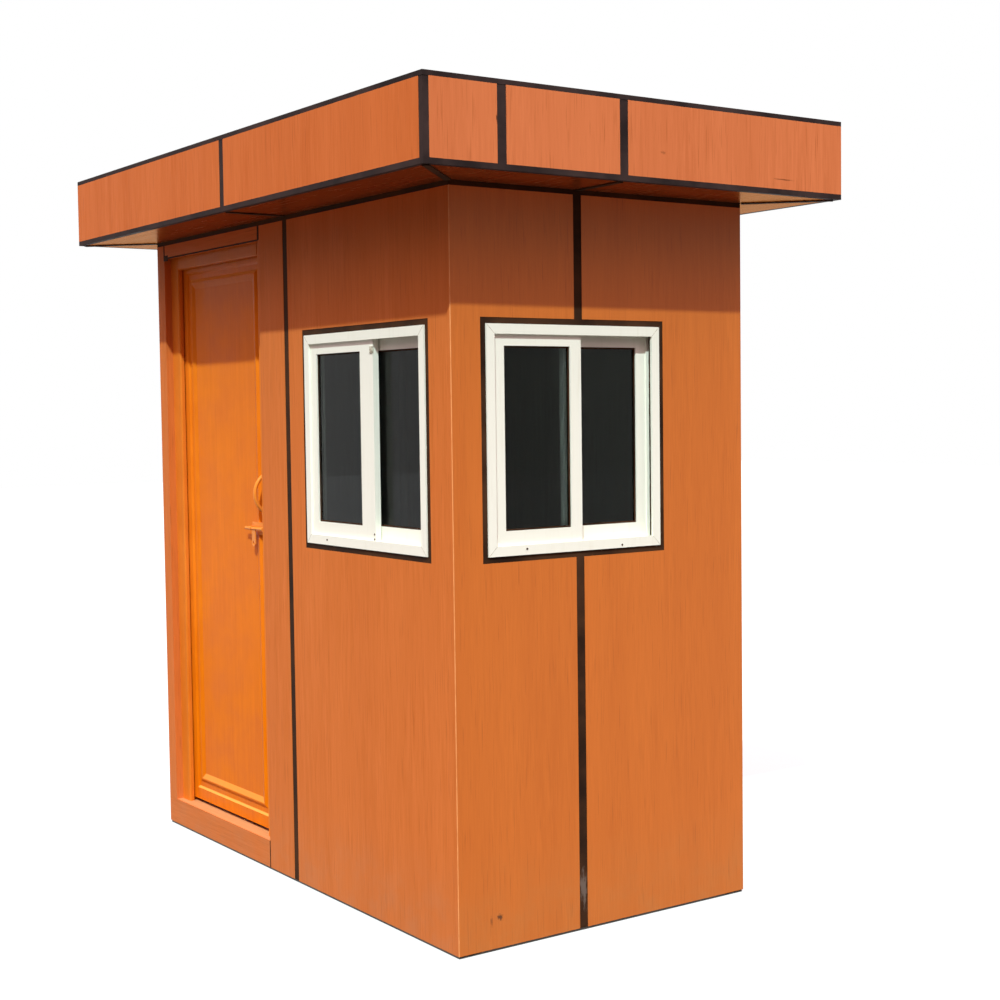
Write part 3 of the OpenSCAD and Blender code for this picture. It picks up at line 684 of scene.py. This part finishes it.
facingUpright = facingMaterial("facingUpright", facingLook, uprightGrain, ["wall", "wallSide"],
                               foldHighlight, endShadeCoat)
facingFascia = facingMaterial("facingFascia", fasciaLook, uprightGrain,
                              ["fasciaShort", "fasciaLong", "fasciaSmear"])
facingSideFascia = facingMaterial("facingSideFascia", sideFasciaLook, uprightGrain)
facingLengthwise = facingMaterial("facingLengthwise", facingLook, lengthwiseGrain)
facingSill = facingMaterial("facingSill", sillLook, lengthwiseGrain)
# painted shade: the soffit's darker copy of the facing
facingSoffit = facingMaterial("facingSoffit", soffitShadeLook, lengthwiseGrain)
blackJoint = jointMaterial("blackJoint", jointLook)
fasciaJoint = jointMaterial("fasciaJoint", fasciaJointLook)
creamWindow = creamMaterial(creamLook)
windowSeam = seamMaterial(seamLook)
tintedGlass = glassMaterial(glassLook)
doorOrange = doorMaterial("doorOrange", doorLook)
doorFrame = doorMaterial("doorFrame", doorFrameLook)
paintedHardware = hardwareMaterial(hardwareLook)
baseSteel = steelMaterial(steelLook)
vinylFloor = vinylMaterial(floorLook)
zincSheet = zincMaterial(zincLook)
liningBoard = liningMaterial(liningLook)

nodeFinish = {
    "skid_rails": baseSteel, "floor_bearers": baseSteel, "roof_frame": baseSteel,
    "floor_deck": vinylFloor,
    "front_wall": liningBoard, "left_wall": liningBoard, "right_wall": liningBoard,
    "back_wall": liningBoard, "door_lintel": liningBoard, "ceiling_panel": liningBoard,
    "front_left_cladding": facingUpright, "front_right_cladding": facingUpright,
    "back_right_cladding": facingUpright, "back_left_cladding": facingUpright,
    "door_side_cladding": facingUpright, "front_fascia": facingFascia, "left_fascia": facingSideFascia,
    "right_fascia": facingSideFascia, "back_fascia": facingSideFascia,
    "lintel_cladding": facingLengthwise, "sill_cladding": facingLengthwise,
    "door_sill": facingSill, "soffit_panels": facingSoffit,
    "wall_joint_strips": blackJoint, "window_sealant": blackJoint, "soffit_joints": blackJoint,
    "fascia_trim": fasciaJoint,
    "front_window_frame": creamWindow, "front_outer_sash": creamWindow, "front_inner_sash": creamWindow,
    "left_window_frame": creamWindow, "left_outer_sash": creamWindow, "left_inner_sash": creamWindow,
    "front_panes": tintedGlass, "left_panes": tintedGlass,
    "lock_jamb": doorFrame, "hinge_jamb": doorFrame, "door_head": doorFrame, "door_leaf": doorOrange,
    "door_handle": paintedHardware, "latch_plate": paintedHardware, "latch_bolt": paintedHardware,
    "frame_hinges": paintedHardware, "leaf_hinges": paintedHardware,
    "roof_sheet": zincSheet,
}
for name, material in nodeFinish.items():
    slots = nodes[name].data.materials
    slots.clear()
    slots.append(material)
print("finishes set on", len(nodeFinish), "nodes")


# Helpers to model the small pieces
sharpAngle = 0.5
smoothAngle = math.radians(35)
nearlySquare = 0.9  # least part of a normal along the axis it follows


def addBlock(name, low, high):
    bpy.ops.object.select_all(action="DESELECT")
    bpy.ops.mesh.primitive_cube_add(size=1)
    block = bpy.context.object
    block.name = name
    block.data.name = name
    block.location = (Vector(low) + Vector(high)) / 2
    block.scale = Vector(high) - Vector(low)
    bpy.ops.object.transform_apply(location=True, rotation=True, scale=True)
    return block


def pick(piece, kind, test):
    # selects the faces or edges of the active piece that pass a test
    bpy.ops.object.mode_set(mode="EDIT")
    bpy.ops.mesh.select_mode(type="FACE" if kind == "faces" else "EDGE")
    bpy.ops.mesh.select_all(action="DESELECT")
    model = bmesh.from_edit_mesh(piece.data)
    for item in getattr(model, kind):
        item.select_set(bool(test(item)))
    model.select_flush_mode()
    bmesh.update_edit_mesh(piece.data)


def roundEdges(piece, width, segments=2, test=lambda edge: edge.calc_face_angle(0) > sharpAngle):
    pick(piece, "edges", test)
    bpy.ops.mesh.bevel(offset=width, segments=segments, affect="EDGES")
    bpy.ops.object.mode_set(mode="OBJECT")


def edgeSpan(edge, axis):
    return abs((edge.verts[0].co - edge.verts[1].co)[axis])


def cutAndRoughen(piece, test, cuts, rough, seed):
    # cuts the edges that pass a test, then moves all points a little
    pick(piece, "edges", test)
    bpy.ops.mesh.subdivide(number_cuts=cuts)
    bpy.ops.mesh.select_all(action="SELECT")
    bpy.ops.transform.vertex_random(offset=rough, seed=seed)
    bpy.ops.object.mode_set(mode="OBJECT")


def addCrownedDisc(look):
    # disc on the XY plane with the middle of its raised top picked
    bpy.ops.object.select_all(action="DESELECT")
    bpy.ops.mesh.primitive_cylinder_add(vertices=look["sides"], radius=look["radius"],
                                        depth=look["height"])
    disc = bpy.context.object
    pick(disc, "faces", lambda face: face.normal.z > nearlySquare)
    bpy.ops.mesh.inset(thickness=look["crown"], depth=look["crown"] / 2)
    return disc


def attach(piece, body, material):
    bpy.ops.object.select_all(action="DESELECT")
    piece.select_set(True)
    bpy.context.view_layer.objects.active = piece
    bpy.ops.object.shade_smooth_by_angle(angle=smoothAngle)
    piece.data.materials.clear()
    piece.data.materials.append(material)
    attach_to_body(piece, body)


def copyPiece(source, name, place, turn=Matrix()):
    piece = source.copy()
    piece.data = source.data.copy()
    piece.name = name
    piece.data.name = name
    piece.data.transform(Matrix.Translation(place) @ turn)
    bpy.context.collection.objects.link(piece)
    return piece


# The two window walls: which axis runs along each and which goes in
frontWall = {"name": "front", "along": 0, "inward": 1}
leftWall = {"name": "left", "along": 1, "inward": 0}
frameFace = 29 * mm  # width of a window frame's face


def wallPoint(wall, along, depth, height):
    point = Vector((0, 0, height))
    point[wall["along"]] = along
    point[wall["inward"]] = depth
    return point


def paneBoxes(wall):
    # corners of the outer and the inner pane
    node = wall["name"] + "_panes"
    low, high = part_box(node)
    middle = (low[wall["inward"]] + high[wall["inward"]]) / 2
    boxes = []
    for side in (-1, 1):
        points = [v.co for v in nodes[node].data.vertices if side * (v.co[wall["inward"]] - middle) > 0]
        boxes.append((Vector(map(min, zip(*points))), Vector(map(max, zip(*points)))))
    return boxes


gasketLook = {
    "grip": 8 * mm,  # how far a pane reaches into its sash
    "width": 5 * mm,
    "thick": 3 * mm,
    "round": 1 * mm,
}


def addGaskets(wall, look):
    # rubber that holds a pane, a ring on each side of the glass
    for track, (low, high) in zip(("Outer", "Inner"), paneBoxes(wall)):
        edges = [low[wall["along"]] + look["grip"], high[wall["along"]] - look["grip"],
                 low.z + look["grip"], high.z - look["grip"]]
        faces = {"Out": (low[wall["inward"]] - look["thick"], low[wall["inward"]]),
                 "In": (high[wall["inward"]], high[wall["inward"]] + look["thick"])}
        for side, (near, far) in faces.items():
            ring = addBlock(wall["name"] + track + "Gasket" + side,
                            wallPoint(wall, edges[0], near, edges[2]),
                            wallPoint(wall, edges[1], far, edges[3]))
            pick(ring, "faces", lambda face: abs(face.normal[wall["inward"]]) > nearlySquare)
            bpy.ops.mesh.inset(thickness=look["width"], depth=0)
            bpy.ops.mesh.bridge_edge_loops()
            roundEdges(ring, look["round"])
            attach(ring, "booth", blackJoint)


seamSize = {
    "width": 1.2 * mm,
    "proud": 0.25 * mm,
}


def addMitreSeams(wall, size):
    # welded corners of the window frame, which show as faint lines
    low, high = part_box(wall["name"] + "_window_frame")
    face = low[wall["inward"]]
    half = frameFace / 2
    length = frameFace * math.sqrt(2)
    for number, (side, level) in enumerate([(0, 0), (1, 0), (1, 1), (0, 1)], 1):
        strip = addBlock(f"{wall['name']}MitreSeam{number}",
                         wallPoint(wall, -length / 2, -size["proud"], -size["width"] / 2),
                         wallPoint(wall, length / 2, size["proud"], size["width"] / 2))
        roundEdges(strip, size["proud"] / 2, 1)
        lean = rightAngle / 2 if side == level else -rightAngle / 2
        axis = "Y" if wall is frontWall else "X"
        turn = Matrix.Rotation(-lean if wall is frontWall else lean, 4, axis)
        along = high[wall["along"]] - half if side else low[wall["along"]] + half
        height = high.z - half if level else low.z + half
        strip.data.transform(Matrix.Translation(wallPoint(wall, along, face, height)) @ turn)
        attach(strip, "booth", windowSeam)


plugLook = {
    "sides": 16,
    "radius": 3 * mm,
    "height": 2.4 * mm,
    "crown": 0.9 * mm,
    "hollow": 0.5 * mm,
}
plugPlaces = {
    "front_window_frame": ((-0.297, 1.158), (0.056, 1.150)),
    "left_window_frame": ((-0.282, 1.157),),
    "left_outer_sash": ((-0.563, 1.189), (-0.563, 1.174)),
}


def addDrainPlugs(wall, look):
    # dark plugs in the drain holes of a frame and its outer sash
    pattern = addCrownedDisc(look)
    bpy.ops.mesh.inset(thickness=look["crown"], depth=-look["hollow"])
    bpy.ops.object.mode_set(mode="OBJECT")
    if wall is frontWall:
        turn = Matrix.Rotation(rightAngle, 4, "X")
    else:
        turn = Matrix.Rotation(-rightAngle, 4, "Y")
    for node, places in plugPlaces.items():
        if node.startswith(wall["name"]):
            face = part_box(node)[0][wall["inward"]]
            for number, (along, height) in enumerate(places, 1):
                spot = wallPoint(wall, along, face, height)
                plug = copyPiece(pattern, f"{node}_plug{number}", spot, turn)
                attach(plug, "booth", blackJoint)
    bpy.data.objects.remove(pattern)


feltLook = {
    "size": (17 * mm, 5 * mm, 20 * mm),
    "fromEnd": 8 * mm,
    "fromTop": 50 * mm,
    "cuts": 5,
    "rough": 1.5 * mm,
    "seed": 4,
}


def addFelt(look):
    # bit of dusty pile seal that shows over the door wall's meeting stile
    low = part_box("left_outer_sash")[0]
    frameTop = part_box("left_window_frame")[1].z
    wide, thick, tall = look["size"]
    along = low.y + look["fromEnd"]
    top = frameTop - look["fromTop"]
    felt = addBlock("leftPileSeal", (low.x - thick / 2, along - wide / 2, top - tall),
                    (low.x + thick / 2, along + wide / 2, top))
    cutAndRoughen(felt, lambda edge: True, look["cuts"], look["rough"], look["seed"])
    attach(felt, "booth", windowSeam)


pileLook = {
    "lip": 8 * mm,  # thickness of the frame's lip
    "deep": 8 * mm,
    "wide": 10 * mm,
    "gap": 0.5 * mm,  # behind the lip
    "back": 1 * mm,  # from the edge of the frame's face
    "cuts": 40,
    "rough": 0.6 * mm,
    "seed": 7,
}


def addTrackPile(wall, look):
    # dark pile in the outer track, beside the inner sash
    low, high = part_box(wall["name"] + "_window_frame")
    near = low[wall["inward"]] + look["lip"] + look["gap"]
    if wall is frontWall:
        first = high[wall["along"]] - frameFace + look["back"]
        second = first + look["wide"]
    else:
        second = low[wall["along"]] + frameFace - look["back"]
        first = second - look["wide"]
    pile = addBlock(wall["name"] + "TrackPile",
                    wallPoint(wall, first, near, low.z + frameFace),
                    wallPoint(wall, second, near + look["deep"], high.z - frameFace))
    cutAndRoughen(pile, lambda edge: edgeSpan(edge, 2) > look["wide"],
                  look["cuts"], look["rough"], look["seed"])
    attach(pile, "booth", blackJoint)


for wall in (frontWall, leftWall):
    addGaskets(wall, gasketLook)
    addTrackPile(wall, pileLook)
    addMitreSeams(wall, seamSize)
    addDrainPlugs(wall, plugLook)
addFelt(feltLook)
print("window pieces modelled")


screwLook = {
    "sides": 20,
    "radius": 3.6 * mm,
    "height": 1.6 * mm,
    "crown": 1.0 * mm,
    "socket": 0.8 * mm,
}


def screwHead(look):
    # screw head to copy
    head = addCrownedDisc(look)
    head.name = "screwPattern"
    bpy.ops.mesh.inset(thickness=look["crown"], depth=0)
    bpy.ops.mesh.extrude_region_move(TRANSFORM_OT_translate={"value": (0, 0, -look["socket"])})
    bpy.ops.object.mode_set(mode="OBJECT")
    return head


screwPlaces = {
    "plateEnd": 7 * mm,  # latch plate, from its ends and edges
    "plateEdge": 6 * mm,
    "plateThick": 2 * mm,
    "hingeInset": 12 * mm,  # hinge plates, from the outer edge
    "hingeLevels": (0.14, 0.5, 0.86),
    "hingeThick": 2.5 * mm,
    "hingeApart": 100 * mm,  # least gap between two hinges
    "roofGap": 180 * mm,
}


def addLatchScrews(pattern, places):
    low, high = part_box("latch_plate")
    outward = Matrix.Rotation(-rightAngle, 4, "Y")
    face = high.x - places["plateThick"]
    for number, (end, edge) in enumerate([(0, 0), (0, 1), (1, 0), (1, 1)], 1):
        y = high.y - places["plateEnd"] if end else low.y + places["plateEnd"]
        z = high.z - places["plateEdge"] if edge else low.z + places["plateEdge"]
        screw = copyPiece(pattern, f"latchScrew{number}", (face, y, z), outward)
        attach(screw, "door", paintedHardware)


def hingeEnds(node, apart):
    # lower and upper ends of the hinges of a node
    heights = sorted({round(v.co.z, 4) for v in nodes[node].data.vertices})
    ends = [heights[0]]
    for low, high in zip(heights, heights[1:]):
        if high - low > apart:
            ends += [low, high]
    ends.append(heights[-1])
    return list(zip(ends[0::2], ends[1::2]))


def addHingeScrews(pattern, places):
    inward = Matrix.Rotation(rightAngle, 4, "Y")
    for node, body, side in (("frame_hinges", "booth", 1), ("leaf_hinges", "door", -1)):
        low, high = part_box(node)
        y = high.y - places["hingeInset"] if side > 0 else low.y + places["hingeInset"]
        x = low.x + places["hingeThick"]
        for hinge, (bottom, top) in enumerate(hingeEnds(node, places["hingeApart"]), 1):
            for level, share in enumerate(places["hingeLevels"], 1):
                z = bottom + share * (top - bottom)
                screw = copyPiece(pattern, f"{body}HingeScrew{hinge}_{level}", (x, y, z), inward)
                attach(screw, body, paintedHardware)


roofLook = {
    "laps": (-0.333, 0.333),  # shares of the half length
    "lapWidth": 46 * mm,
    "lapHeight": 1.4 * mm,
    "fromEdge": 34 * mm,
}


def addRoofLaps(pattern, look, places):
    # laps of the roof sheet with their screws
    low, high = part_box("roof_sheet")
    for number, share in enumerate(look["laps"], 1):
        y = share * high.y
        half = look["lapWidth"] / 2
        lap = addBlock(f"roofLap{number}",
                       (low.x + look["fromEdge"], y - half, high.z - look["lapHeight"]),
                       (high.x - look["fromEdge"], y + half, high.z + look["lapHeight"]))
        roundEdges(lap, look["lapHeight"] / 2)
        attach(lap, "booth", zincSheet)
        margin = 2 * look["fromEdge"]
        span = high.x - low.x - 2 * margin
        count = int(span / places["roofGap"]) + 1
        for step in range(count):
            x = -span / 2 + step * span / (count - 1)
            spot = (x, y, high.z + look["lapHeight"])
            screw = copyPiece(pattern, f"roofScrew{number}_{step + 1}", spot)
            attach(screw, "booth", zincSheet)


pattern = screwHead(screwLook)
addLatchScrews(pattern, screwPlaces)
addHingeScrews(pattern, screwPlaces)
addRoofLaps(pattern, roofLook, screwPlaces)
bpy.data.objects.remove(pattern)
print("screws and roof laps placed")


beadLook = {
    "nearWidth": 12 * mm,
    "farWidth": 9 * mm,
    "underWidth": 5 * mm,
    "blob": (36 * mm, 20 * mm),
    "proud": 0.7 * mm,
    "sunk": 1 * mm,
    "step": 22 * mm,
    "rough": 0.5 * mm,
}


def addBead(name, look, low, high, seed, turn=Matrix()):
    # hand-drawn line of black sealant between two corners
    bead = addBlock(name, low, high)
    sizes = Vector(high) - Vector(low)
    longest = max(range(3), key=lambda axis: sizes[axis])
    cuts = max(2, int(sizes[longest] / look["step"]))
    cutAndRoughen(bead, lambda edge: edgeSpan(edge, longest) > sizes[longest] / 2,
                  cuts, look["rough"], seed)
    bead.data.transform(turn)
    attach(bead, "booth", blackJoint)


def addDoorBeads(look):
    low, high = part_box("lintel_cladding")
    sillLow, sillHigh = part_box("sill_cladding")
    out, back = low.x - look["proud"], low.x + look["sunk"]
    near, far, under = look["nearWidth"] / 2, look["farWidth"] / 2, look["underWidth"] / 2
    addBead("lintelBeadNear", look, (out, low.y - near, low.z), (back, low.y + near, high.z), 1)
    addBead("lintelBeadFar", look, (out, high.y - far, low.z), (back, high.y + far, high.z), 2)
    # dark line along the lintel's lower edge, in the sealant's black
    addBead("lintelBeadUnder", look, (out, low.y, low.z - under), (back, high.y, low.z + under), 3)
    long, tall = look["blob"]
    addBead("lintelBlob", look, (out, high.y + far - long, low.z - tall / 2),
            (back, high.y + far, low.z + tall / 2), 4)
    addBead("sillBeadNear", look, (out, sillLow.y - under, sillLow.z),
            (back, sillLow.y + under, sillHigh.z), 5)


soffitBeads = {
    "width": 20 * mm,
    "proud": 3.5 * mm,
    "sunk": 1 * mm,
    "start": 2 * mm,  # from the wall
    "reach": 202 * mm,  # from the wall to the line at the fascia's foot
    "step": 22 * mm,
    "rough": 0.5 * mm,
    "mitres": ((-0.55, -1.0, 225), (0.55, -1.0, 315), (0.55, 1.0, 45), (-0.55, 1.0, 135)),
    "straight": ((-0.10, -1.0, 270), (0.55, 0.0, 0), (0.0, 1.0, 90), (-0.55, -0.025, 180)),
}


def addSoffitBeads(look):
    # black sealant over the soffit's joints
    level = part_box("soffit_panels")[0].z
    half = look["width"] / 2
    for kind, length in (("mitres", look["reach"] * math.sqrt(2)), ("straight", look["reach"])):
        for number, (x, y, degrees) in enumerate(look[kind], 1):
            turn = Matrix.Translation((x, y, level)) @ Matrix.Rotation(math.radians(degrees), 4, "Z")
            addBead(f"soffitBead_{kind}{number}", look, (look["start"], -half, -look["proud"]),
                    (length, half, look["sunk"]), number, turn)


addDoorBeads(beadLook)
addSoffitBeads(soffitBeads)
print("sealant beads modelled")


trimLook = {
    "width": 22 * mm,
    "round": 16 * mm,
    "segments": 5,
}


def addCornerTrims(look):
    # coved strips in the corners of the room
    low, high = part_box("floor_deck")
    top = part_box("ceiling_panel")[0].z
    for number, (sideX, sideY) in enumerate([(0, 0), (1, 0), (1, 1)], 1):
        x = (high.x - look["width"], high.x) if sideX else (low.x, low.x + look["width"])
        y = (high.y - look["width"], high.y) if sideY else (low.y, low.y + look["width"])
        trim = addBlock(f"cornerTrim{number}", (x[0], y[0], high.z), (x[1], y[1], top))
        inner = Vector((x[0] if sideX else x[1], y[0] if sideY else y[1]))
        roundEdges(trim, look["round"], look["segments"],
                   lambda edge: all((v.co.xy - inner).length < mm for v in edge.verts))
        attach(trim, "booth", liningBoard)


addCornerTrims(trimLook)
print("inner trims modelled")


# Floor and light
stageLook = {
    "floorSize": 60.0,
    "background": (1, 1, 1, 1),
    "bounce": (0.062, 0.056, 0.050, 1),
    "shadow": (0.68, 0.84, 0.86, 1),  # evens out the tint of the sky
    "shadowShare": 0.30,
    "sky": (1.00, 0.67, 0.68, 1),
    "skyStrength": (0.10, 3.75),  # at the horizon and overhead
    "skyPower": 2.0,
    "sunTravel": (0.59, 0.64, -1.0),
    "sunStrength": 3.42,
    "sunColour": (0.94, 1.14, 1.11),
    "sunAngleDeg": 1.0,
}


def seenDirectly(tree):
    # rays from the camera, or that a gloss or a pane sends on
    rays = tree.nodes.new("ShaderNodeLightPath").outputs
    either = calc(tree, "MAXIMUM", rays["Is Camera Ray"], rays["Is Glossy Ray"])
    return calc(tree, "MAXIMUM", either, rays["Is Transmission Ray"])


def floorMaterial(look):
    material = bpy.data.materials.new("paleFloor")
    material.use_nodes = True
    tree = material.node_tree
    tree.nodes.clear()
    white = put(tree, "ShaderNodeEmission", {"Color": look["background"], "Strength": 1.0}).outputs[0]
    shaded = put(tree, "ShaderNodeBsdfDiffuse", {"Color": look["shadow"]}).outputs[0]
    pale = put(tree, "ShaderNodeMixShader", {0: look["shadowShare"], 1: white, 2: shaded}).outputs[0]
    ground = put(tree, "ShaderNodeBsdfDiffuse", {"Color": look["bounce"]}).outputs[0]
    shown = put(tree, "ShaderNodeMixShader", {0: seenDirectly(tree), 1: ground, 2: pale}).outputs[0]
    put(tree, "ShaderNodeOutputMaterial", {"Surface": shown})
    return material


def addStage(look):
    bpy.ops.object.select_all(action="DESELECT")
    bpy.ops.mesh.primitive_plane_add(size=look["floorSize"])
    floor = bpy.context.object
    floor.name = "studioFloor"
    floor.data.materials.append(floorMaterial(look))

    world = bpy.data.worlds.new("studioWorld")
    world.use_nodes = True
    tree = world.node_tree
    tree.nodes.clear()
    direction = tree.nodes.new("ShaderNodeTexCoord").outputs["Generated"]
    rise = calc(tree, "POWER", axisPart(tree, direction, "Z"), look["skyPower"])
    horizon, overhead = look["skyStrength"]
    strength = put(tree, "ShaderNodeMapRange",
                   {0: rise, 1: 0.0, 2: 1.0, 3: horizon, 4: overhead}).outputs[0]
    sky = put(tree, "ShaderNodeBackground", {"Color": look["sky"], "Strength": strength}).outputs[0]
    white = put(tree, "ShaderNodeBackground", {"Color": look["background"], "Strength": 1.0}).outputs[0]
    shown = put(tree, "ShaderNodeMixShader", {0: seenDirectly(tree), 1: sky, 2: white}).outputs[0]
    put(tree, "ShaderNodeOutputWorld", {"Surface": shown})
    bpy.context.scene.world = world

    bpy.ops.object.light_add(type="SUN")
    sun = bpy.context.object
    sun.name = "keyLight"
    sun.rotation_euler = Vector(look["sunTravel"]).to_track_quat("-Z", "Y").to_euler()
    sun.data.energy = look["sunStrength"]
    sun.data.color = look["sunColour"]
    sun.data.angle = math.radians(look["sunAngleDeg"])


addStage(stageLook)
print("floor and light set")
